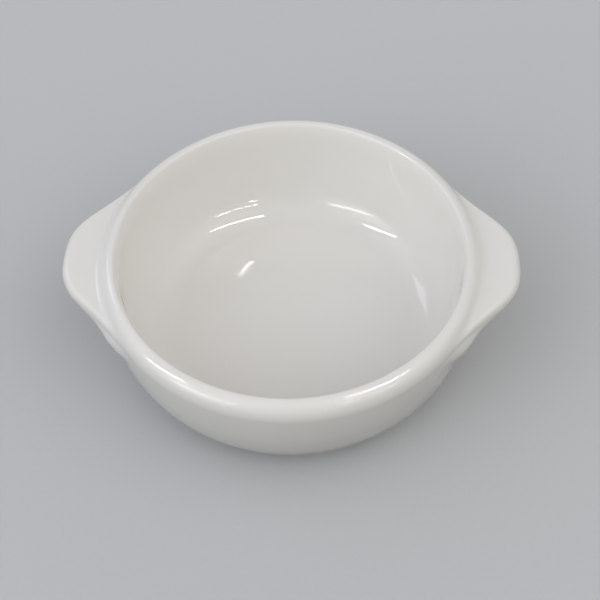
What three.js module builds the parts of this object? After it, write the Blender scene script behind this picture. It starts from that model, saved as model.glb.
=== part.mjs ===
// Round two-eared gratin dish of glazed stoneware, for one helping.
// Frame: +Z up, origin on the table at the middle of the foot ring, the two lugs along the X axis.
// Every section lies in a plane through the axis: x is the distance from the axis, y the height.
import * as THREE from "three";

// Driving dimensions of the bowl, in millimetres
const HEIGHT = 52; // table to the crest of the rim
const RIM_RADIUS = 75; // axis to the widest line of the bead round the rim
const BEAD_WIDTH = 5.8; // crest out to that widest line
const BEAD_DROP = 7.3; // crest down to that widest line
const LIP_WIDTH = 1.8; // crest in to the inner wall
const LIP_DROP = 8; // crest down to where the lip's rounding ends
const FLOOR_RADIUS = 46; // flat part of the floor
const FLOOR_HEIGHT = 8; // table to the floor
const FOOT_RADIUS = 57; // foot ring, outer edge
const FOOT_HEIGHT = 3; // table to where the outer wall leaves the ring
const FOOT_WIDTH = 6; // foot ring, across
const FOOT_BEVEL = 1; // bevel of the ring's two lower edges
const RECESS_HEIGHT = 3; // table to the bare underside of the floor

// Driving dimensions of the lugs and of the pads that join them to the wall
const LUG_REACH = 15; // bead out to the tip of a lug
const LUG_DROP = 4.6; // crest down to the flat top of a lug
const LUG_TIP_DROP = 3.3; // flat top down to the outermost line of the edge
const LUG_THICKNESS = 8.6; // flat top down to the underside near the tip
const LUG_EDGE = 3.3; // how far in from the tip the upper edge is rounded, at most
const LUG_UNDER_EDGE = 4.5; // how far in from the tip the lower edge is rounded, at most
const LUG_FLARE = 2.2; // reach at which a lug melts into the bead
const LUG_HALF_ANGLE = 18.3; // degrees from the lug's axis to where it stands out about half as far
const LUG_END_ANGLE = 36; // degrees from the lug's axis to where its outline ends in the bead
const GROOVE_WIDTH = 2.5; // hollow between the bead and the flat top, at most
const GROOVE_ANGLE = 40; // degrees round the bead at which the hollow starts
const PAD_PROUD = 2.6; // pad below a lug, out from the wall
const PAD_DROP = 24; // crest down to the lower edge of a pad
const PAD_SLOPE = 6; // lower edge up to where the pad has its full depth
const PAD_FLAT_ANGLE = 26; // degrees from the lug's axis to where the pad thins and its lower edge climbs
const PAD_HALF_ANGLE = 40; // degrees from the lug's axis to the end of the pad
const PAD_FILLET = 0.2; // share of a lug's reach that the pad's upper edge follows
const PAD_HOLD = 4; // power that says how late the pad dies out where the lug grows from it

// Driving dimensions of the coats
const GLAZE = 0.5; // fired glaze
const BASE_GLAZE_EDGE = 3; // width over which the glaze in the recess thins to nothing
const SLIP = 0.4; // slip that holds a lug to the wall, where the lug is deep
const SLIP_THINNING = 5; // depth of lug, in slip depths, at which the slip is half as thick

// Fullness of the walls' curves, where 2 is an ellipse and more is squarer, and of the lugs' outline
const BELLY_FULLNESS = 2.15;
const HOLLOW_FULLNESS = 2.4;
const LUG_FULLNESS = 3.4;

// Steps of the faceted surfaces, and the lines on a pad as shares of its height
const LUG_STEPS = 18;
const PLAIN_STEPS = 8;
const BELLY_STEPS = 5;
const EDGE_STEPS = 2;
const GROOVE_STEPS = 3;
const CREST_STEPS = 2;
const HOLLOW_STEPS = 6;
const PAD_LEVELS = [0, 0.25, 0.5, 0.85, 1];

// Places that follow from the driving dimensions
const QUARTER = Math.PI / 2;
const { degToRad, lerp, smoothstep } = THREE.MathUtils;
const crestRadius = RIM_RADIUS - BEAD_WIDTH;
const beadHeight = HEIGHT - BEAD_DROP;
const lipHeight = HEIGHT - LIP_DROP;
const hollowRadius = crestRadius - LIP_WIDTH;
const padHeight = HEIGHT - PAD_DROP;
const lugTop = HEIGHT - LUG_DROP;
const tipHeight = lugTop - LUG_TIP_DROP;
const undersideHeight = lugTop - LUG_THICKNESS;
const grooveStart = degToRad(GROOVE_ANGLE);
const seamAngle = Math.max(LUG_END_ANGLE, PAD_HALF_ANGLE);
const ringInside = FOOT_RADIUS - FOOT_WIDTH;

function arc(centreX, centreY, radiusX, radiusY, from, to, steps) {
  return new THREE.EllipseCurve(centreX, centreY, radiusX, radiusY, from, to).getPoints(steps);
}

// Makes one line of lists that each start where the last one ended.
function chain(first, ...others) {
  return [...first, ...others.flatMap((list) => list.slice(1))];
}

// The outer wall swells from the foot ring to the bead, which it meets upright.
function bellyPoint(height) {
  const left = Math.max(0, beadHeight - height) / (beadHeight - FOOT_HEIGHT);
  const swell = (1 - left ** BELLY_FULLNESS) ** (1 / BELLY_FULLNESS);
  return new THREE.Vector2(FOOT_RADIUS + (RIM_RADIUS - FOOT_RADIUS) * swell, height);
}

function lowerWall() {
  return Array.from({ length: BELLY_STEPS + 1 }, (_, i) =>
    bellyPoint(lerp(FOOT_HEIGHT, padHeight, (i / BELLY_STEPS) ** 2)),
  );
}

// The wall and bead that a lug sits on, from the foot of its pad to the start of its groove.
function lugSeat() {
  const underLevels = Array.from({ length: EDGE_STEPS + 1 }, (_, i) => i / EDGE_STEPS);
  const beadSteps = EDGE_STEPS + GROOVE_STEPS + 1;
  return chain(
    PAD_LEVELS.map((up) => bellyPoint(lerp(padHeight, undersideHeight, up))),
    underLevels.map((up) => bellyPoint(lerp(undersideHeight, beadHeight, up))),
    arc(crestRadius, beadHeight, BEAD_WIDTH, BEAD_DROP, 0, grooveStart, beadSteps),
  );
}

// The inner wall drops from the lip and turns into the floor.
function hollow() {
  return Array.from({ length: HOLLOW_STEPS + 1 }, (_, i) => {
    const angle = QUARTER * (i / HOLLOW_STEPS);
    const out = Math.max(0, Math.cos(angle)) ** (2 / HOLLOW_FULLNESS);
    const down = Math.sin(angle) ** (2 / HOLLOW_FULLNESS);
    return new THREE.Vector2(
      FLOOR_RADIUS + (hollowRadius - FLOOR_RADIUS) * out,
      lipHeight - (lipHeight - FLOOR_HEIGHT) * down,
    );
  });
}

// The glazed line of a plain section: from the foot ring over the rim to the middle of the floor.
const seat = lugSeat();
const rootIndex = BELLY_STEPS;
const undersideIndex = rootIndex + PAD_LEVELS.length - 1;
const seamIndex = rootIndex + seat.length - 1;
const plainLine = [
  ...chain(
    lowerWall(),
    seat,
    arc(crestRadius, beadHeight, BEAD_WIDTH, BEAD_DROP, grooveStart, QUARTER, CREST_STEPS),
    arc(crestRadius, lipHeight, LIP_WIDTH, LIP_DROP, QUARTER, QUARTER * 2, CREST_STEPS),
    hollow(),
  ),
  new THREE.Vector2(0, FLOOR_HEIGHT),
];

// The edge, flat top and groove of a lug whose tip stands this far out from the bead.
function lugLine(reach) {
  const tip = RIM_RADIUS + reach;
  const underDrop = tipHeight - undersideHeight;
  const seam = seat.at(-1);
  const slope = (BEAD_WIDTH * Math.tan(grooveStart)) / BEAD_DROP;
  const corner = new THREE.Vector2(seam.x + slope * (seam.y - lugTop), lugTop);
  const room = tip - corner.x;
  const share = room / Math.hypot(room, GROOVE_WIDTH + LUG_EDGE);
  const underEdge = LUG_UNDER_EDGE * share;
  const edge = LUG_EDGE * share;
  const flatEnd = new THREE.Vector2(corner.x + GROOVE_WIDTH * share, lugTop);
  return [
    ...chain(
      arc(tip - underEdge, tipHeight, underEdge, underDrop, -QUARTER, 0, EDGE_STEPS),
      arc(tip - edge, tipHeight, edge, LUG_TIP_DROP, 0, QUARTER, EDGE_STEPS),
    ),
    ...new THREE.QuadraticBezierCurve(flatEnd, corner, seam).getPoints(GROOVE_STEPS),
  ];
}

// The outline of a lug is a blunt bell: 1 on the lug's axis, with flanks that run out along the bead.
function lugBell(degrees) {
  return 1 / (1 + (degrees / LUG_HALF_ANGLE) ** LUG_FULLNESS);
}

function lugReach(degrees) {
  const end = lugBell(LUG_END_ANGLE);
  return (LUG_REACH * Math.max(0, lugBell(degrees) - end)) / (1 - end);
}

// The depth of a pad in a direction and at a height on the wall: towards its ends its lower edge climbs.
function padDepth(degrees, height) {
  const gone = smoothstep(degrees, PAD_FLAT_ANGLE, PAD_HALF_ANGLE);
  const low = lerp(padHeight, undersideHeight, gone);
  return PAD_PROUD * (1 - gone) * smoothstep(height, low, low + PAD_SLOPE);
}

// How much of that depth shows on a line of the seat: the pad dies out in the lug, and beside it at the bead.
function padShare(k, melt) {
  if (k < undersideIndex) return 1;
  return (1 - melt ** PAD_HOLD) * Math.max(0, 1 - ((k - undersideIndex) / EDGE_STEPS) ** 2);
}

// The glazed line of the section at this many degrees from the nearer lug's axis.
function glazedLine(degrees) {
  const reach = lugReach(degrees);
  const flaredReach = Math.hypot(reach, LUG_FLARE);
  const melt = reach / flaredReach;
  const lug = lugLine(flaredReach);
  return plainLine.map((point, k) => {
    if (k <= rootIndex || k >= seamIndex) return point;
    const moved = point.clone();
    if (k === undersideIndex - 1) moved.x += PAD_FILLET * reach;
    if (k >= undersideIndex) moved.lerp(lug[k - undersideIndex], melt);
    moved.x += padDepth(degrees, point.y) * padShare(k, melt);
    return moved;
  });
}

// The clay lies one glaze depth below the glazed line, and bare at its lower end.
function below(line, k) {
  if (k === 0) return line[k];
  const next = line[Math.min(k + 1, line.length - 1)];
  const along = next.clone().sub(line[k - 1]).normalize();
  return new THREE.Vector2(line[k].x - along.y * GLAZE, line[k].y + along.x * GLAZE);
}

const plainClay = plainLine.map((_, k) => below(plainLine, k));

// The clay under a lug is offset from the lug's own face, and where the lug dies out, as the wall's clay is.
function clayLine(line) {
  return line.map((point, k) => {
    const moved = point.clone().sub(plainLine[k]);
    const gap = moved.length();
    return moved.add(plainClay[k]).lerp(below(line, k), gap / (gap + GLAZE));
  });
}

// Slip fills the joint between a lug and the wall. It thins out with the lug's depth, square to the wall.
function slipLine(clay) {
  return clay.map((point, k) => {
    const out = plainLine[k].clone().sub(plainClay[k]).normalize();
    const lugDepth = Math.max(0, point.clone().sub(plainClay[k]).dot(out));
    const depth = (SLIP * lugDepth) / (lugDepth + SLIP_THINNING * SLIP);
    return out.multiplyScalar(depth).add(plainClay[k]);
  });
}

// The directions in which sections are taken over half a turn, from one side of a lug onwards.
function halfTurn(axis) {
  const plainSpan = 180 - 2 * seamAngle;
  const lugPart = Array.from({ length: LUG_STEPS }, (_, i) => seamAngle * ((2 * i) / LUG_STEPS - 1));
  const plainPart = Array.from({ length: PLAIN_STEPS }, (_, i) => seamAngle + (plainSpan * i) / PLAIN_STEPS);
  return [...lugPart, ...plainPart].map((degrees) => ({
    turn: degToRad(axis + degrees),
    offAxis: Math.abs(degrees),
  }));
}

const directions = [...halfTurn(0), ...halfTurn(180)];
const glazed = directions.map(({ offAxis }) => glazedLine(offAxis));
const clay = glazed.map(clayLine);

// Stands each line up in its direction: one row of points in space for each section.
function rows(lines, from = 0) {
  return lines.map((line, i) => {
    const { turn } = directions[from + i];
    return line.map(({ x, y }) => new THREE.Vector3(x * Math.cos(turn), x * Math.sin(turn), y));
  });
}

// The triangles between neighbouring rows, without those that shrink to a line on the axis.
function skin(grid, { round, facingIn = false }) {
  const triangles = [];
  const add = (a, b, c) => {
    if (a.equals(b) || b.equals(c) || c.equals(a)) return;
    triangles.push(a, ...(facingIn ? [c, b] : [b, c]));
  };
  const last = round ? grid.length : grid.length - 1;
  for (let i = 0; i < last; i++) {
    const row = grid[i];
    const next = grid[(i + 1) % grid.length];
    for (let k = 0; k + 1 < row.length; k++) {
      add(row[k], next[k], row[k + 1]);
      add(next[k], next[k + 1], row[k + 1]);
    }
  }
  return triangles;
}

function piece(name, triangles, material) {
  const geometry = new THREE.BufferGeometry().setFromPoints(triangles);
  geometry.computeVertexNormals();
  const mesh = new THREE.Mesh(geometry, new THREE.MeshStandardMaterial(material));
  mesh.name = name;
  return mesh;
}

const stoneware = { color: "#d8d0c1", roughness: 0.85, metalness: 0 };
const slip = { color: "#cfc6b5", roughness: 0.9, metalness: 0 };
const whiteGlaze = { color: "#eceae5", roughness: 0.08, metalness: 0 };

// The thrown bowl, bare of glaze, with the turned foot ring below it
function bowlBody() {
  const underside = [
    [0, RECESS_HEIGHT],
    [ringInside - BASE_GLAZE_EDGE, RECESS_HEIGHT],
    [ringInside, RECESS_HEIGHT],
    [ringInside, FOOT_BEVEL],
    [ringInside + FOOT_BEVEL, 0],
    [FOOT_RADIUS - FOOT_BEVEL, 0],
    [FOOT_RADIUS, FOOT_BEVEL],
  ].map(([x, y]) => new THREE.Vector2(x, y));
  const section = [...underside, ...plainClay];
  return piece("bowl_body", skin(rows(directions.map(() => section)), { round: true }), stoneware);
}

// A pressed lug with its pad, and the slip that holds it: they share the face between them.
function handle(side, from) {
  const lugClay = clay.slice(from, from + LUG_STEPS + 1);
  const cut = (lines) => lines.map((line) => line.slice(rootIndex, seamIndex + 1));
  const outside = rows(cut(lugClay), from);
  const joint = rows(cut(lugClay.map(slipLine)), from);
  const wall = rows(cut(lugClay.map(() => plainClay)), from);
  const between = (outer, inner) => [
    ...skin(outer, { round: false }),
    ...skin(inner, { round: false, facingIn: true }),
  ];
  return [
    piece(`${side}_handle`, between(outside, joint), stoneware),
    piece(`${side}_slip_joint`, between(joint, wall), slip),
  ];
}

// The glaze from the foot ring over the outside, the lugs, the rim and the inside
function glazeCoat() {
  const triangles = [
    ...skin(rows(glazed), { round: true }),
    ...skin(rows(clay), { round: true, facingIn: true }),
  ];
  return piece("glaze_coat", triangles, whiteGlaze);
}

// The glaze in the recess that the foot ring goes round
function baseGlaze() {
  const edge = new THREE.Vector2(ringInside, RECESS_HEIGHT);
  const disc = (height) => [
    new THREE.Vector2(0, height),
    new THREE.Vector2(ringInside - BASE_GLAZE_EDGE, height),
    edge,
  ];
  const around = (line) => rows(directions.map(() => line));
  const triangles = [
    ...skin(around(disc(RECESS_HEIGHT - GLAZE)), { round: true }),
    ...skin(around(disc(RECESS_HEIGHT)), { round: true, facingIn: true }),
  ];
  return piece("base_glaze", triangles, whiteGlaze);
}

const dish = new THREE.Group();
dish.add(
  bowlBody(),
  ...handle("right", 0),
  ...handle("left", LUG_STEPS + PLAIN_STEPS),
  glazeCoat(),
  baseGlaze(),
);

export default dish;
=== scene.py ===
"""White glazed gratin dish with two ear-shaped lugs, in the order in which it is made."""
import math
from collections import namedtuple

import bpy
from mathutils import Matrix, Vector


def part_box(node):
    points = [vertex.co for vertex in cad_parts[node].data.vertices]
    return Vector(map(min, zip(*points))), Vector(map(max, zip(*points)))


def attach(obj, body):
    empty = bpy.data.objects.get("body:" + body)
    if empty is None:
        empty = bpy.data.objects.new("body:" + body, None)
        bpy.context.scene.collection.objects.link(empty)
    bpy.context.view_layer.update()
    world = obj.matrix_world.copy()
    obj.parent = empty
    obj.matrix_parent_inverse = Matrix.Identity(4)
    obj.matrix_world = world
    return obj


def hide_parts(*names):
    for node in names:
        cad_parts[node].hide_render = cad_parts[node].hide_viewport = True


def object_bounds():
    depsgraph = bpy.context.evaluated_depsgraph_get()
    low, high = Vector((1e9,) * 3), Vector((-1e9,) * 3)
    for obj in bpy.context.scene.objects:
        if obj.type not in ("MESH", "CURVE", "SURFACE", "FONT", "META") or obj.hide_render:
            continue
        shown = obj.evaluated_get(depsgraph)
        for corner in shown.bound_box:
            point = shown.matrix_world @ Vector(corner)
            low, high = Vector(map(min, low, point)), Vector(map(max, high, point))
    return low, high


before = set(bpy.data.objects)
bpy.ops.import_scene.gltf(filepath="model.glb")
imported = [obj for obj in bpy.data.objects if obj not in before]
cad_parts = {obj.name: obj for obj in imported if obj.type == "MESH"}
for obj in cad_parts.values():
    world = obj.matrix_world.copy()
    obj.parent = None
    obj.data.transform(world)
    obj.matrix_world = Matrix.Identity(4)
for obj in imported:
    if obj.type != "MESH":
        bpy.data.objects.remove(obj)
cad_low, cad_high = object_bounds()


# The bowl. It is thrown in one piece from off-white stoneware clay, and its foot ring is turned on it when
# the clay is leather-hard. Glaze covers all of it but the ring, which is wiped bare before the firing.
height = cad_high.z
rim_radius = cad_high.y
bead_width = 0.0058
bead_drop = 0.0073
lip_width = 0.0018
lip_drop = 0.008
floor_radius = 0.046
floor_height = 0.008
foot_radius = 0.057
foot_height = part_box("glaze_coat")[0].z
foot_edge = 0.001
ring_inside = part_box("base_glaze")[1].x
recess_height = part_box("base_glaze")[1].z
seat_drop = 0.0132
pad_drop = 0.024
groove_angle = 40
belly_fullness = 2.15
hollow_fullness = 2.4
glaze_depth = 0.0005
glaze_roll = 0.002

crest_radius = rim_radius - bead_width
bead_height = height - bead_drop
lip_height = height - lip_drop
hollow_radius = crest_radius - lip_width
seat_height = height - seat_drop
pad_height = height - pad_drop

# One point of a section: where it lies on the plain wall, how a lug carries it out and up, how far the lug's
# pad carries it and how much of that the lug takes over, how thin the glaze is there, and whether the point
# lies on the outside of the glaze.
Point = namedtuple(
    "Point",
    "plain lug_out lug_rise pad_out lug_hold thin outside",
    defaults=[Vector(), 0.0, 0.0, 0.0, 0.0, 0.0],
)


def spread(start, end, steps):
    """Even steps from one number to another, both included."""
    return [start + (end - start) * i / steps for i in range(steps + 1)]


def arc(centre_radius, centre_height, across, high, start, end, steps):
    """Points on an ellipse round a centre, from one angle to another, in degrees."""
    return [
        Vector((centre_radius + across * math.cos(turn), 0, centre_height + high * math.sin(turn)))
        for turn in (math.radians(angle) for angle in spread(start, end, steps))
    ]


def belly(level):
    """The outer wall at a level: it swells from the foot ring to the bead, which it meets upright."""
    left = max(0.0, bead_height - level) / (bead_height - foot_height)
    swell = (1 - left**belly_fullness) ** (1 / belly_fullness)
    return Vector((foot_radius + (rim_radius - foot_radius) * swell, 0, level))


def hollow(angle):
    """The inner wall drops from the lip and turns into the floor."""
    out = max(0.0, math.cos(angle)) ** (2 / hollow_fullness)
    down = math.sin(angle) ** (2 / hollow_fullness)
    radius = floor_radius + (hollow_radius - floor_radius) * out
    return Vector((radius, 0, lip_height - (lip_height - floor_height) * down))


wall_steps, pad_steps, under_steps = 26, 22, 14
edge_steps, flat_steps, groove_steps = 12, 12, 16
crest_steps, lip_steps, hollow_steps, floor_steps = 12, 14, 34, 12
edge_turn, flat_turn = groove_angle / 3, groove_angle / 2
bead = (crest_radius, bead_height, bead_width, bead_drop)
wall_line = [
    belly(foot_height + (pad_height - foot_height) * share**2) for share in spread(0, 1, wall_steps)
]
pad_line = [belly(level) for level in spread(pad_height, seat_height, pad_steps)]
under_line = [belly(level) for level in spread(seat_height, bead_height, under_steps)]
edge_line = arc(*bead, 0, edge_turn, edge_steps)
flat_line = arc(*bead, edge_turn, flat_turn, flat_steps)
groove_line = arc(*bead, flat_turn, groove_angle, groove_steps)
crest_line = arc(*bead, groove_angle, 90, crest_steps)
lip_line = arc(crest_radius, lip_height, lip_width, lip_drop, 90, 180, lip_steps)
hollow_line = [hollow(angle) for angle in spread(0, math.pi / 2, hollow_steps)]
floor_line = [Vector((radius, 0, floor_height)) for radius in spread(floor_radius, 0, floor_steps)]

glazed_places = list(wall_line)
lines_by_lug = (pad_line, under_line, edge_line, flat_line, groove_line)
lines_inside = (crest_line, lip_line, hollow_line, floor_line)
for line in lines_by_lug + lines_inside:
    glazed_places += line[1:]


def facings(places):
    """The way out of the clay at each point of a line that runs up the outside and down the inside."""
    ways = []
    for k in range(len(places)):
        along = places[min(k + 1, len(places) - 1)] - places[max(k - 1, 0)]
        ways.append(Vector((along.z, 0, -along.x)).normalized())
    return ways


def coat_depths(places):
    """The depth of the glaze along a line: it ends in a rounded edge above the bare foot ring."""
    depths = []
    gone = 0.0
    for k, place in enumerate(places):
        gone += (place - places[max(k - 1, 0)]).length
        near_end = max(0.0, 1 - gone / glaze_roll)
        depths.append(glaze_depth * math.sqrt(1 - near_end**2))
    return depths


def section_mesh(name, points):
    """A section as loose points that hold their marks, for the turning below."""
    mesh = bpy.data.meshes.new(name)
    mesh.from_pydata([point.plain for point in points], [], [])
    for mark in Point._fields[1:]:
        values = [getattr(point, mark) for point in points]
        if mark == "lug_out":
            held = mesh.attributes.new(mark, "FLOAT_VECTOR", "POINT")
            held.data.foreach_set("vector", [part for value in values for part in value])
        else:
            held = mesh.attributes.new(mark, "FLOAT", "POINT")
            held.data.foreach_set("value", values)
    return mesh


def add(tree, kind, feeds=None, **settings):
    """Adds a node with its settings, and links or sets its inputs: a node stands for its first output."""
    made = tree.nodes.new(kind)
    for name, value in settings.items():
        setattr(made, name, value)
    for place, feed in (feeds or {}).items():
        if isinstance(feed, bpy.types.Node):
            feed = feed.outputs[0]
        if isinstance(feed, bpy.types.NodeSocket):
            tree.links.new(feed, made.inputs[place])
        else:
            made.inputs[place].default_value = feed
    return made


# The turning: a section is swept round the axis, as a rib shapes clay on the wheel. Towards the two lug axes
# the section's marks carry it out to the lug and its pad.
turning = bpy.data.node_groups.new("turning", "GeometryNodeTree")
turning_sizes = {
    "Section": "NodeSocketGeometry",
    "Turn Steps": "NodeSocketInt",
    "Start Turn": "NodeSocketFloat",
    "Whole Turn": "NodeSocketFloat",
    "Crowding": "NodeSocketFloat",
    "Lug Reach": "NodeSocketFloat",
    "Lug Flare": "NodeSocketFloat",
    "Lug Half Angle": "NodeSocketFloat",
    "Lug Fullness": "NodeSocketFloat",
    "Lug Bell End": "NodeSocketFloat",
    "Lug Root": "NodeSocketFloat",
    "Rim Radius": "NodeSocketFloat",
    "Edge Room": "NodeSocketFloat",
    "Pad Proud": "NodeSocketFloat",
    "Pad Flat Angle": "NodeSocketFloat",
    "Pad Half Angle": "NodeSocketFloat",
    "Pad Low": "NodeSocketFloat",
    "Pad High": "NodeSocketFloat",
    "Pad Slope": "NodeSocketFloat",
    "Pad Hold": "NodeSocketFloat",
    "Softening": "NodeSocketInt",
    "Wave Height": "NodeSocketFloat",
    "Wave Length": "NodeSocketFloat",
    "Finish": "NodeSocketMaterial",
}
turning_inputs = {
    label: turning.interface.new_socket(label, in_out="INPUT", socket_type=kind).identifier
    for label, kind in turning_sizes.items()
}
turning.interface.new_socket("Piece", in_out="OUTPUT", socket_type="NodeSocketGeometry")
size = add(turning, "NodeGroupInput").outputs

count = add(turning, "GeometryNodeAttributeDomainSize", {"Geometry": size["Section"]}, component="MESH")
rows = add(turning, "ShaderNodeMath", {0: size["Turn Steps"], 1: 1.0}, operation="ADD")
grid = add(turning, "GeometryNodeMeshGrid", {"Vertices X": rows, "Vertices Y": count.outputs["Point Count"]})
index = add(turning, "GeometryNodeInputIndex")
row_share = add(turning, "ShaderNodeMath", {0: index, 1: count.outputs["Point Count"]}, operation="DIVIDE")
row = add(turning, "ShaderNodeMath", {0: row_share}, operation="FLOOR")
spot = add(turning, "ShaderNodeMath", {0: index, 1: count.outputs["Point Count"]}, operation="MODULO")

marks = {}
for mark in ("place", *Point._fields[1:]):
    kind = "FLOAT_VECTOR" if mark in ("place", "lug_out") else "FLOAT"
    if mark == "place":
        held = add(turning, "GeometryNodeInputPosition")
    else:
        held = add(turning, "GeometryNodeInputNamedAttribute", {"Name": mark}, data_type=kind)
    sample = add(
        turning,
        "GeometryNodeSampleIndex",
        {"Geometry": size["Section"], "Index": spot},
        data_type=kind,
    )
    turning.links.new(held.outputs[0], sample.inputs["Value"])
    marks[mark] = sample.outputs["Value"]

# The direction of each row, with more rows near the lugs, and its angle from the nearer lug's axis
done = add(turning, "ShaderNodeMath", {0: row, 1: size["Turn Steps"]}, operation="DIVIDE")
even = add(
    turning,
    "ShaderNodeMath",
    {0: done, 1: size["Whole Turn"], 2: size["Start Turn"]},
    operation="MULTIPLY_ADD",
)
double = add(turning, "ShaderNodeMath", {0: even, 1: 2.0}, operation="MULTIPLY")
sway = add(turning, "ShaderNodeMath", {0: double}, operation="SINE")
half_crowding = add(turning, "ShaderNodeMath", {0: size["Crowding"], 1: -0.5}, operation="MULTIPLY")
turn = add(turning, "ShaderNodeMath", {0: sway, 1: half_crowding, 2: even}, operation="MULTIPLY_ADD")
turn_sine = add(turning, "ShaderNodeMath", {0: turn}, operation="SINE")
turn_cosine = add(turning, "ShaderNodeMath", {0: turn}, operation="COSINE")
off_side = add(turning, "ShaderNodeMath", {0: turn_sine}, operation="ABSOLUTE")
off_axis = add(turning, "ShaderNodeMath", {0: off_side}, operation="ARCSINE")

# How far the lug and the pad stand out in that direction: the lug's outline is a blunt bell, 1 on its axis
halves = add(turning, "ShaderNodeMath", {0: off_axis, 1: size["Lug Half Angle"]}, operation="DIVIDE")
falling = add(turning, "ShaderNodeMath", {0: halves, 1: size["Lug Fullness"]}, operation="POWER")
one_more = add(turning, "ShaderNodeMath", {0: falling, 1: 1.0}, operation="ADD")
bell = add(turning, "ShaderNodeMath", {0: 1.0, 1: one_more}, operation="DIVIDE")
reach = add(
    turning,
    "ShaderNodeMapRange",
    {0: bell, 1: size["Lug Bell End"], 2: 1.0, 3: 0.0, 4: size["Lug Reach"]},
)
plain = add(turning, "ShaderNodeSeparateXYZ", {0: marks["place"]})
pad_gone = add(
    turning,
    "ShaderNodeMapRange",
    {0: off_axis, 1: size["Pad Flat Angle"], 2: size["Pad Half Angle"], 3: 0.0, 4: 1.0},
    interpolation_type="SMOOTHSTEP",
)
pad_left = add(turning, "ShaderNodeMapRange", {0: pad_gone, 1: 0.0, 2: 1.0, 3: size["Pad Proud"], 4: 0.0})
pad_foot = add(
    turning,
    "ShaderNodeMapRange",
    {0: pad_gone, 1: 0.0, 2: 1.0, 3: size["Pad Low"], 4: size["Pad High"]},
)
pad_brow = add(turning, "ShaderNodeMath", {0: pad_foot, 1: size["Pad Slope"]}, operation="ADD")
pad_grown = add(
    turning,
    "ShaderNodeMapRange",
    {0: plain.outputs["Z"], 1: pad_foot, 2: pad_brow, 3: 0.0, 4: 1.0},
    interpolation_type="SMOOTHSTEP",
)
pad = add(turning, "ShaderNodeMath", {0: pad_left, 1: pad_grown}, operation="MULTIPLY")
flare = add(turning, "ShaderNodeCombineXYZ", {0: reach, 1: size["Lug Flare"]})
flared = add(turning, "ShaderNodeVectorMath", {0: flare}, operation="LENGTH").outputs["Value"]
melt = add(turning, "ShaderNodeMath", {0: reach, 1: flared}, operation="DIVIDE")
tip = add(turning, "ShaderNodeMath", {0: size["Rim Radius"], 1: flared}, operation="ADD")
room = add(turning, "ShaderNodeMath", {0: tip, 1: size["Lug Root"]}, operation="SUBTRACT")
room_and_edge = add(turning, "ShaderNodeCombineXYZ", {0: room, 1: size["Edge Room"]})
slant = add(turning, "ShaderNodeVectorMath", {0: room_and_edge}, operation="LENGTH").outputs["Value"]
edge_share = add(turning, "ShaderNodeMath", {0: room, 1: slant}, operation="DIVIDE")

# Where each point goes
lug_terms = add(turning, "ShaderNodeCombineXYZ", {0: 1.0, 1: tip, 2: edge_share})
lug_move = add(turning, "ShaderNodeVectorMath", {0: marks["lug_out"], 1: lug_terms}, operation="DOT_PRODUCT")
on_lug = add(
    turning,
    "ShaderNodeMath",
    {0: lug_move.outputs["Value"], 1: melt, 2: plain.outputs["X"]},
    operation="MULTIPLY_ADD",
)
full_melt = add(turning, "ShaderNodeMath", {0: melt, 1: size["Pad Hold"]}, operation="POWER")
taken = add(turning, "ShaderNodeMath", {0: marks["lug_hold"], 1: full_melt}, operation="MULTIPLY")
left_over = add(turning, "ShaderNodeMath", {0: 1.0, 1: taken}, operation="SUBTRACT")
pad_move = add(turning, "ShaderNodeMath", {0: marks["pad_out"], 1: left_over}, operation="MULTIPLY")
radius = add(turning, "ShaderNodeMath", {0: pad_move, 1: pad, 2: on_lug}, operation="MULTIPLY_ADD")
level = add(
    turning,
    "ShaderNodeMath",
    {0: marks["lug_rise"], 1: melt, 2: plain.outputs["Z"]},
    operation="MULTIPLY_ADD",
)
across = add(turning, "ShaderNodeMath", {0: radius, 1: turn_cosine}, operation="MULTIPLY")
along = add(turning, "ShaderNodeMath", {0: radius, 1: turn_sine}, operation="MULTIPLY")
place = add(turning, "ShaderNodeCombineXYZ", {0: across, 1: along, 2: level})
shaped = add(turning, "GeometryNodeSetPosition", {"Geometry": grid, "Position": place})
for mark in ("thin", "outside"):
    shaped = add(
        turning,
        "GeometryNodeStoreNamedAttribute",
        {"Geometry": shaped, "Name": mark, "Value": marks[mark]},
        data_type="FLOAT",
        domain="POINT",
    )

# Rows that meet are joined, what shrinks to nothing on the axis goes, and the melt softens and waves the skin
least_area, joining_distance = 1e-13, 1e-6
area = add(turning, "GeometryNodeInputMeshFaceArea")
no_area = add(turning, "ShaderNodeMath", {0: area, 1: least_area}, operation="LESS_THAN")
solid = add(
    turning,
    "GeometryNodeDeleteGeometry",
    {"Geometry": shaped, "Selection": no_area},
    domain="FACE",
    mode="ALL",
)
closed = add(turning, "GeometryNodeMergeByDistance", {"Geometry": solid, "Distance": joining_distance})
now_at = add(turning, "GeometryNodeInputPosition")
softened = add(
    turning,
    "GeometryNodeBlurAttribute",
    {"Value": now_at, "Iterations": size["Softening"]},
    data_type="FLOAT_VECTOR",
)
soft = add(turning, "GeometryNodeSetPosition", {"Geometry": closed, "Position": softened})
wave_count = add(turning, "ShaderNodeMath", {0: 1.0, 1: size["Wave Length"]}, operation="DIVIDE")
wave = add(
    turning,
    "ShaderNodeTexNoise",
    {"Vector": add(turning, "GeometryNodeInputPosition"), "Scale": wave_count, "Detail": 1.0},
)
outside = add(turning, "GeometryNodeInputNamedAttribute", {"Name": "outside"}, data_type="FLOAT")
wave_depth = add(turning, "ShaderNodeMath", {0: size["Wave Height"], 1: outside}, operation="MULTIPLY")
sink = add(turning, "ShaderNodeMath", {0: wave, 1: wave_depth}, operation="MULTIPLY")
inwards = add(turning, "ShaderNodeMath", {0: sink, 1: -1.0}, operation="MULTIPLY")
facing = add(turning, "GeometryNodeInputNormal")
shift = add(turning, "ShaderNodeVectorMath", {0: facing, "Scale": inwards}, operation="SCALE")
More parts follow.
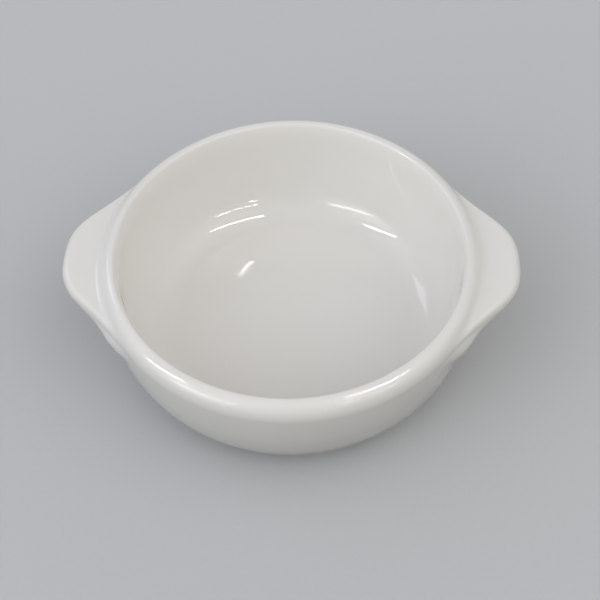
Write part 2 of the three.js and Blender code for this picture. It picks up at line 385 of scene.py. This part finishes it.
waved = add(turning, "GeometryNodeSetPosition", {"Geometry": soft, "Offset": shift})
smooth = add(turning, "GeometryNodeSetShadeSmooth", {"Geometry": waved})
real = add(turning, "GeometryNodeRealizeInstances", {"Geometry": smooth})
finished = add(turning, "GeometryNodeSetMaterial", {"Geometry": real, "Material": size["Finish"]})
add(turning, "NodeGroupOutput", {"Piece": finished})


def turned_piece(name, points, **sizes):
    """Sweeps a section by the turning, with its sizes, and keeps the result as a plain mesh."""
    piece = bpy.data.objects.new(name, section_mesh(name, points))
    bpy.context.scene.collection.objects.link(piece)
    sweep = piece.modifiers.new("turning", "NODES")
    sweep.node_group = turning
    for label, value in sizes.items():
        sweep[turning_inputs[label.replace("_", " ").title()]] = value
    graph = bpy.context.evaluated_depsgraph_get()
    mesh = bpy.data.meshes.new_from_object(piece.evaluated_get(graph))
    piece.modifiers.clear()
    piece.data = mesh
    mesh.name = name
    return piece


def linear(hex_colour):
    """An sRGB hex colour as the linear values that a shader takes."""
    parts = [int(hex_colour[i : i + 2], 16) / 255 for i in (1, 3, 5)]
    return [p / 12.92 if p <= 0.04045 else ((p + 0.055) / 1.055) ** 2.4 for p in parts] + [1.0]


def new_material(name):
    """An empty material with its shader, its tree and the coordinates of the piece."""
    material = bpy.data.materials.new(name)
    material.use_nodes = True
    tree = material.node_tree
    tree.nodes.clear()
    shader = add(tree, "ShaderNodeBsdfPrincipled")
    add(tree, "ShaderNodeOutputMaterial", {"Surface": shader})
    spots = add(tree, "ShaderNodeTexCoord").outputs["Object"]
    return material, tree, shader, spots


# Bare stoneware, biscuit-dry and wiped with a sponge: the eye gets a matt, warm off-white with fine grog and
# faint turning lines.
stoneware, tree, shader, spots = new_material("bare_stoneware_turned")
grog_width, grog_depth = 0.0006, 0.00008
speck_core, speck_edge, speck_strength = 0.05, 0.25, 0.35
blotch_width = 0.012
turning_pitch, turning_share = 0.0009, 0.3
clay_roughness, clay_relief = 0.85, 0.6
clay_pale, clay_dark, grog_colour = "#d9d0c2", "#c9bda9", "#8f7f6a"
grog = add(tree, "ShaderNodeTexVoronoi", {"Vector": spots, "Scale": 1 / grog_width})
blotch = add(tree, "ShaderNodeTexNoise", {"Vector": spots, "Scale": 1 / blotch_width, "Detail": 3.0})
clay = add(tree, "ShaderNodeMix", {0: blotch, 6: linear(clay_pale), 7: linear(clay_dark)}, data_type="RGBA")
speck = add(tree, "ShaderNodeMapRange", {0: grog, 1: speck_core, 2: speck_edge, 3: speck_strength, 4: 0.0})
grained = add(tree, "ShaderNodeMix", {0: speck, 6: clay.outputs[2], 7: linear(grog_colour)}, data_type="RGBA")
tree.links.new(grained.outputs[2], shader.inputs["Base Color"])
shader.inputs["Roughness"].default_value = clay_roughness
flat_place = add(tree, "ShaderNodeVectorMath", {0: spots, 1: (1, 1, 0)}, operation="MULTIPLY")
from_axis = add(tree, "ShaderNodeVectorMath", {0: flat_place}, operation="LENGTH").outputs["Value"]
lines = add(tree, "ShaderNodeMath", {0: from_axis, 1: 2 * math.pi / turning_pitch}, operation="MULTIPLY")
ridges = add(tree, "ShaderNodeMath", {0: lines}, operation="SINE")
tooth = add(tree, "ShaderNodeMath", {0: ridges, 1: turning_share, 2: grog}, operation="MULTIPLY_ADD")
relief = add(tree, "ShaderNodeBump", {"Strength": clay_relief, "Distance": grog_depth, "Height": tooth})
tree.links.new(relief.outputs[0], shader.inputs["Normal"])

plain_facings = facings(glazed_places)
coat = coat_depths(glazed_places)
bare_places = [place - way * deep for place, way, deep in zip(glazed_places, plain_facings, coat)]

# The underside runs from the axis over the recess and round the foot ring. Above it the clay takes every
# second point of the section, because the glaze covers it.
recess_steps, ring_steps, bevel_steps = 12, 4, 5
underside = [Vector((radius, 0, recess_height)) for radius in spread(0, ring_inside, recess_steps)]
underside += [Vector((ring_inside, 0, level)) for level in spread(recess_height, foot_edge, ring_steps)[1:]]
underside += arc(ring_inside + foot_edge, foot_edge, foot_edge, foot_edge, 180, 270, bevel_steps)[1:]
underside += arc(foot_radius - foot_edge, foot_edge, foot_edge, foot_edge, 270, 360, bevel_steps)
whole_turn = 2 * math.pi
turn_steps = 256
bowl = turned_piece(
    "stoneware_bowl",
    [Point(place) for place in underside + bare_places[::2]],
    turn_steps=turn_steps,
    whole_turn=whole_turn,
    finish=stoneware,
)
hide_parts("bowl_body")
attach(bowl, "root")


# The lugs. Each is pressed from the same clay with a thick pad below it, and set against the wall and the
# bead while both are damp. They lie wholly under the glaze, so the clay shows nowhere.
lug_reach = cad_high.x - rim_radius
lug_drop = 0.0046
lug_tip_drop = 0.0033
lug_edge = 0.0033
lug_under_edge = 0.0045
lug_flare = 0.0022
lug_half_angle = math.radians(18.3)
lug_end_angle = math.radians(36)
lug_fullness = 3.4
groove_width = 0.0025
pad_proud = 0.0026
pad_slope = 0.006
pad_flat_angle = math.radians(26)
pad_half_angle = math.radians(40)
pad_full_share = 0.45
pad_fillet_power = 1.25
pad_hold = 4.0
slip_depth = 0.0004
slip_thinning = 5

# A lug's outline falls to about half its reach at the half angle and to none at the end angle, and a higher
# fullness makes it blunter. A higher pad_hold lets a lug take over from its pad only near the lug's axis. The
# slip has half its depth where the lug's skin stands slip_thinning times that depth off the wall.
lug_top = height - lug_drop
tip_height = lug_top - lug_tip_drop
under_drop = seat_drop - lug_drop - lug_tip_drop
seam = groove_line[-1]
seam_slope = bead_width * math.tan(math.radians(groove_angle)) / bead_drop
lug_root = seam.x + seam_slope * (seam.z - lug_top)
edge_room = groove_width + lug_edge
full_tip = rim_radius + math.hypot(lug_reach, lug_flare)
full_room = full_tip - lug_root
full_share = full_room / math.hypot(full_room, edge_room)


def smooth_rise(share):
    """Rises from 0 to 1 with a level start and end."""
    share = min(max(share, 0.0), 1.0)
    return share * share * (3 - 2 * share)


def lug_point(plain, fixed, by_tip, by_edge, level, weight=1.0, pad_out=0.0):
    """A point that a lug carries out to fixed + by_tip * tip + by_edge * edge share, and to a level."""
    out = Vector((fixed - plain.x, by_tip, by_edge)) * weight
    return Point(plain, out, level - plain.z, pad_out, weight)


lug_points = []
for share, plain in zip(spread(0, 1, pad_steps), pad_line):
    full = belly(pad_height + (seat_height - pad_height) * pad_full_share)
    bend = math.pi / 2 * max(0.0, share - pad_full_share) / (1 - pad_full_share)
    weight = 1 - max(0.0, math.cos(bend)) ** pad_fillet_power
    rise = (tip_height - under_drop - full.z) * math.sin(bend) ** pad_fillet_power
    level = full.z + rise if share > pad_full_share else plain.z
    lug_points.append(lug_point(plain, 0, 1, -lug_under_edge, level, weight, pad_out=1.0))
for share, plain in list(zip(spread(0, 1, under_steps), under_line))[1:]:
    angle = (share - 1) * math.pi / 2
    level = tip_height + under_drop * math.sin(angle)
    by_edge = -lug_under_edge * (1 - math.cos(angle))
    lug_points.append(lug_point(plain, 0, 1, by_edge, level, pad_out=1 - share**2))
for share, plain in list(zip(spread(0, 1, edge_steps), edge_line))[1:]:
    angle = share * math.pi / 2
    level = tip_height + lug_tip_drop * math.sin(angle)
    by_edge = -lug_edge * (1 - math.cos(angle))
    lug_points.append(lug_point(plain, 0, 1, by_edge, level))
for share, plain in list(zip(spread(0, 1, flat_steps), flat_line))[1:]:
    by_edge = groove_width * share - lug_edge * (1 - share)
    lug_points.append(lug_point(plain, lug_root * share, 1 - share, by_edge, lug_top))
for share, plain in list(zip(spread(0, 1, groove_steps), groove_line))[1:]:
    fixed = lug_root * (1 - share**2) + seam.x * share**2
    level = lug_top * (1 - share**2) + seam.z * share**2
    lug_points.append(lug_point(plain, fixed, 0, groove_width * (1 - share) ** 2, level))

first, last = wall_steps, wall_steps + len(lug_points)
glazed_points = [Point(place) for place in glazed_places]
glazed_points[first:last] = lug_points


def full_places(points):
    """Where the points of a section lie on the axis of a lug."""
    terms = Vector((1.0, full_tip, full_share))
    places = []
    for point in points:
        pad_depth = pad_proud * smooth_rise((point.plain.z - pad_height) / pad_slope)
        out = point.lug_out.dot(terms) + point.pad_out * (1 - point.lug_hold) * pad_depth
        places.append(point.plain + Vector((out, 0, point.lug_rise)))
    return places


full_facings = facings(full_places(glazed_points))
clay_points = []
skin = zip(glazed_points, bare_places, plain_facings, full_facings, coat)
for point, place, plain_way, full_way, deep in skin:
    change = (plain_way - full_way) * deep
    moved = point.lug_out + Vector((change.x, 0, 0))
    clay_points.append(point._replace(plain=place, lug_out=moved, lug_rise=point.lug_rise + change.z))

slip_points = []
for point, place, way in zip(clay_points, full_places(clay_points), plain_facings):
    gap = (place - point.plain).length
    deep = slip_depth * gap / (gap + slip_thinning * slip_depth)
    slip_points.append(Point(point.plain, Vector((way.x * deep, 0, 0)), way.z * deep))

lug_sizes = dict(
    lug_reach=lug_reach,
    lug_flare=lug_flare,
    lug_half_angle=lug_half_angle,
    lug_fullness=lug_fullness,
    lug_bell_end=1 / (1 + (lug_end_angle / lug_half_angle) ** lug_fullness),
    lug_root=lug_root,
    rim_radius=rim_radius,
    edge_room=edge_room,
    pad_proud=pad_proud,
    pad_flat_angle=pad_flat_angle,
    pad_half_angle=pad_half_angle,
    pad_low=pad_height,
    pad_high=seat_height,
    pad_slope=pad_slope,
    pad_hold=pad_hold,
)
lug_outside = clay_points[first : last : 2] + [clay_points[last]]
lug_joint = slip_points[first : last : 2] + [slip_points[last]]
lug_axes = {"right": 0.0, "left": math.pi}
lug_steps = 72
lug_span = max(lug_end_angle, pad_half_angle)
for side, axis in lug_axes.items():
    lug = turned_piece(
        f"{side}_lug",
        lug_outside + lug_joint[::-1],
        turn_steps=lug_steps,
        start_turn=axis - lug_span,
        whole_turn=2 * lug_span,
        finish=stoneware,
        **lug_sizes,
    )
    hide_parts(f"{side}_handle")
    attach(lug, "root")


# The slip. Clay let down with water to a cream is brushed on where each lug sits, and dries with it into one
# body. It fills the seam between lug and wall, and the glaze covers it.

# Fired slip, brushed: the eye would get a matt cream, a little darker than the clay, with soft blotches.
slip, tree, shader, spots = new_material("fired_slip_brushed")
daub_width, daub_depth, daub_relief = 0.004, 0.00005, 0.4
slip_roughness = 0.9
cream_pale, cream_dark = "#cfc6b5", "#bfb39d"
daub = add(tree, "ShaderNodeTexNoise", {"Vector": spots, "Scale": 1 / daub_width, "Detail": 2.0})
cream = add(tree, "ShaderNodeMix", {0: daub, 6: linear(cream_pale), 7: linear(cream_dark)}, data_type="RGBA")
tree.links.new(cream.outputs[2], shader.inputs["Base Color"])
shader.inputs["Roughness"].default_value = slip_roughness
brushed = add(tree, "ShaderNodeBump", {"Strength": daub_relief, "Distance": daub_depth, "Height": daub})
tree.links.new(brushed.outputs[0], shader.inputs["Normal"])

wall_points = [Point(point.plain) for point in lug_joint]
for side, axis in lug_axes.items():
    joint = turned_piece(
        f"{side}_slip",
        lug_joint + wall_points[::-1],
        turn_steps=lug_steps,
        start_turn=axis - lug_span,
        whole_turn=2 * lug_span,
        finish=slip,
        **lug_sizes,
    )
    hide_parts(f"{side}_slip_joint")
    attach(joint, "root")


# The glaze. The dish is dipped, so one coat runs from just above the foot ring over the wall, the lugs, the
# rim and the inside. It melts to a glossy white skin that softens each edge and thins out above the ring.
lug_crowding = 0.45
melt_softening = 3
wave_height, wave_length = 0.000005, 0.018

# White glaze, fired glossy: the eye gets sharp reflections that waver a little, a soft white that is warmer
# where the coat is thin over the clay, and a very faint mottle.
white_glaze, tree, shader, spots = new_material("white_glaze_fired_glossy")
mottle_width = 0.030
mottle_low, mottle_high = 0.3, 0.7
peel_width, peel_depth, peel_relief = 0.0025, 0.000004, 0.2
smoothest, roughest = 0.02, 0.04
glaze_ior = 1.52
white_pale, white_dark, thin_colour = "#e7e5e1", "#e5e2dd", "#e0d0c3"
mottle = add(tree, "ShaderNodeTexNoise", {"Vector": spots, "Scale": 1 / mottle_width, "Detail": 2.0})
white = add(
    tree,
    "ShaderNodeMix",
    {0: mottle, 6: linear(white_pale), 7: linear(white_dark)},
    data_type="RGBA",
)
thin = add(tree, "ShaderNodeAttribute", attribute_name="thin")
tinted = add(
    tree,
    "ShaderNodeMix",
    {0: thin.outputs["Fac"], 6: white.outputs[2], 7: linear(thin_colour)},
    data_type="RGBA",
)
tree.links.new(tinted.outputs[2], shader.inputs["Base Color"])
shader.inputs["IOR"].default_value = glaze_ior
peel = add(tree, "ShaderNodeTexNoise", {"Vector": spots, "Scale": 1 / peel_width, "Detail": 1.0})
gloss = add(
    tree,
    "ShaderNodeMapRange",
    {0: mottle, 1: mottle_low, 2: mottle_high, 3: smoothest, 4: roughest},
)
tree.links.new(gloss.outputs[0], shader.inputs["Roughness"])
orange_peel = add(tree, "ShaderNodeBump", {"Strength": peel_relief, "Distance": peel_depth, "Height": peel})
tree.links.new(orange_peel.outputs[0], shader.inputs["Normal"])

glaze_outside = [
    point._replace(thin=1 - deep / glaze_depth, outside=1.0) for point, deep in zip(glazed_points, coat)
]
glaze = turned_piece(
    "white_glaze_skin",
    glaze_outside + clay_points[::-2],
    turn_steps=turn_steps,
    whole_turn=whole_turn,
    crowding=lug_crowding,
    softening=melt_softening,
    wave_height=wave_height,
    wave_length=wave_length,
    finish=white_glaze,
    **lug_sizes,
)
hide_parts("glaze_coat")
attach(glaze, "root")


# The glaze in the recess. It is poured into the ring when the dish stands upside down, and thins out towards
# the ring, which is wiped clean.
base_edge = 0.003
base_steps, base_edge_steps = 10, 8
base_radii = spread(0, ring_inside - base_edge, base_steps)
base_radii += spread(ring_inside - base_edge, ring_inside, base_edge_steps)[1:]
base_low = [
    Vector((radius, 0, recess_height - glaze_depth * smooth_rise((ring_inside - radius) / base_edge)))
    for radius in base_radii
]
base_top = [Vector((radius, 0, recess_height)) for radius in spread(ring_inside, 0, base_steps)[1:]]
base = turned_piece(
    "recess_glaze",
    [Point(place) for place in base_low + base_top],
    turn_steps=turn_steps,
    whole_turn=whole_turn,
    finish=white_glaze,
)
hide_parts("base_glaze")
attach(base, "root")


# The stage: a plain pale table top of matt card, lamps that show in the glaze, a pale room that lights the
# dish, and the camera at the photograph's angle.

# Pale matt card: the eye gets an even light grey with a fine grain, drawn coarser than a real one so that it
# shows. The card is pale to the camera and in reflections, and throws little light back on the dish.
pale_card, tree, shader, spots = new_material("pale_matt_card")
card_grain, card_roughness = 0.0015, 0.9
card_pale, card_dark, card_unlit = "#c2c3c4", "#bebfc0", "#202020"
fibre = add(tree, "ShaderNodeTexNoise", {"Vector": spots, "Scale": 1 / card_grain, "Detail": 2.0})
card = add(tree, "ShaderNodeMix", {0: fibre, 6: linear(card_pale), 7: linear(card_dark)}, data_type="RGBA")
ray = add(tree, "ShaderNodeLightPath").outputs
seen = add(tree, "ShaderNodeMath", {0: ray["Is Camera Ray"], 1: ray["Is Glossy Ray"]}, operation="ADD")
shown = add(tree, "ShaderNodeMath", {0: seen, 1: ray["Is Transmission Ray"]}, operation="ADD", use_clamp=True)
sheet = add(tree, "ShaderNodeMix", {0: shown, 6: linear(card_unlit), 7: card.outputs[2]}, data_type="RGBA")
tree.links.new(sheet.outputs[2], shader.inputs["Base Color"])
shader.inputs["Roughness"].default_value = card_roughness
table_half = 3.0
table = bpy.data.objects.new("table", bpy.data.meshes.new("table"))
table_corners = [(x * table_half, y * table_half, 0) for x, y in ((-1, -1), (1, -1), (1, 1), (-1, 1))]
table.data.from_pydata(table_corners, [], [(0, 1, 2, 3)])
table.data.materials.append(pale_card)
bpy.context.scene.collection.objects.link(table)

# The dish stands a little turned in the photograph, so the camera and the lamps turn about it together
dish_turn = math.radians(3.3)
view_turn = Matrix.Rotation(dish_turn, 4, "Z")


def panel_lamp(name, width, depth, glow, colour, place):
    """A flat lamp of a given glow that shows in the glaze alone: the room's glow holds its soft light."""
    lamp = bpy.data.lights.new(name, "AREA")
    lamp.shape = "RECTANGLE"
    lamp.size = width
    lamp.size_y = depth
    lamp.color = linear(colour)[:3]
    lamp.energy = glow * math.pi * width * depth
    holder = bpy.data.objects.new(name, lamp)
    holder.matrix_world = view_turn @ place
    holder.visible_diffuse = False
    bpy.context.scene.collection.objects.link(holder)


# Rows of tube lamps above the table, all on the camera's side: where each lies along Y, and its left and
# right end along X
tube_height = 1.5
tube_width = 0.026
tube_glow, tube_colour = 110.0, "#ffffff"
tube_rows = [
    (-0.47, 0.27, 1.25),
    (-0.45, -3.0, -1.1),
    (-2.1, 0.8, 3.0),
    (-1.95, -3.6, -1.1),
    (-3.3, 1.2, 1.8),
]
for row_place, row_start, row_end in tube_rows:
    tube_place = Matrix.Translation(((row_start + row_end) / 2, row_place, tube_height))
    panel_lamp("tube_lamp", row_end - row_start, tube_width, tube_glow, tube_colour, tube_place)

# A short lamp behind the dish makes the streak on its floor
spot_length, spot_width, spot_glow = 0.05, 0.003, 30.0
spot_across, spot_behind = -0.104, 1.238
spot_turn = Matrix.Rotation(math.radians(55), 4, "Z")
spot_place = Matrix.Translation((spot_across, spot_behind, tube_height)) @ spot_turn
panel_lamp("spot_lamp", spot_length, spot_width, spot_glow, tube_colour, spot_place)

# Two tall panes of cool light stand behind the dish on the left
pane_distance = 3.0
pane_width, pane_height = 0.30, 0.95
pane_elevation = math.radians(35)
pane_sides = (math.radians(-48.2), math.radians(-55.8))
pane_glow, pane_colour = 2.6, "#dcdfff"
for pane_side in pane_sides:
    flat = math.cos(pane_elevation)
    pane_way = Vector((math.sin(pane_side) * flat, math.cos(pane_side) * flat, math.sin(pane_elevation)))
    pane_aim = (-pane_way).to_track_quat("-Z", "Y").to_matrix().to_4x4()
    pane_place = Matrix.Translation(pane_way * pane_distance) @ pane_aim
    panel_lamp("window_pane", pane_width, pane_height, pane_glow, pane_colour, pane_place)

# The room: an even white glow, with paler patches of wall that fade out round their middles: one on the
# right, one on the left in cool light, three in front, of which the brightest is low on the left, and one
# low behind. Each has its direction and its height in degrees, how narrow it is, its glow and its colour.
room_glow, room_colour = 0.344, "#ffffff"
wall_patches = [
    (0, 42, 5.0, 0.505, "#fffaf7"),
    (180, 42, 5.0, 0.72, "#e4e9ff"),
    (-40, 42, 5.0, 0.809, "#ffffff"),
    (-90, 66, 12.0, 0.184, "#ffffff"),
    (-140, 25, 12.0, 2.107, "#fbffff"),
    (90, 8, 16.0, 1.0, "#ffffff"),
]
room_light = bpy.data.worlds.new("room_light")
room_light.use_nodes = True
room = room_light.node_tree
backdrop = room.nodes["Background"]
way = add(room, "ShaderNodeTexCoord").outputs["Generated"]
glow = [room_glow * share for share in linear(room_colour)[:3]]
for patch_side, patch_height, patch_narrow, patch_glow, patch_colour in wall_patches:
    flat = math.cos(math.radians(patch_height))
    middle = Vector((flat, 0, math.sin(math.radians(patch_height))))
    middle.rotate(Matrix.Rotation(math.radians(patch_side), 3, "Z"))
    facing = add(room, "ShaderNodeVectorMath", {0: way, 1: middle}, operation="DOT_PRODUCT").outputs["Value"]
    ahead = add(room, "ShaderNodeMath", {0: facing, 1: 0.0}, operation="MAXIMUM")
    fading = add(room, "ShaderNodeMath", {0: ahead, 1: patch_narrow}, operation="POWER")
    shine = [patch_glow * share for share in linear(patch_colour)[:3]]
    glow = add(room, "ShaderNodeVectorMath", {0: shine, 1: fading, 2: glow}, operation="MULTIPLY_ADD")
room.links.new(glow.outputs[0], backdrop.inputs["Color"])
bpy.context.scene.world = room_light
bpy.context.scene.view_settings.view_transform = "Standard"

# The camera: its height above the table's level, its roll, its distance from what it looks at, and its lens
view_elevation = math.radians(52.67)
view_roll = math.radians(-1.81)
view_distance = 0.44096
view_target = Vector((0.00326, -0.02525, height))
lens_mm, film_mm = 70.39, 36.0
level_right = Vector((1, 0, 0))
level_up = Vector((0, math.sin(view_elevation), math.cos(view_elevation)))
back = Vector((0, -math.cos(view_elevation), math.sin(view_elevation)))
right = level_right * math.cos(view_roll) + level_up * math.sin(view_roll)
up = level_up * math.cos(view_roll) - level_right * math.sin(view_roll)
aim = Matrix((right, up, back)).transposed().to_4x4()
camera = bpy.data.objects.new("camera", bpy.data.cameras.new("camera"))
camera.data.lens = lens_mm
camera.data.sensor_width = film_mm
camera.matrix_world = view_turn @ Matrix.Translation(view_target + back * view_distance) @ aim
bpy.context.scene.collection.objects.link(camera)
bpy.context.scene.camera = camera
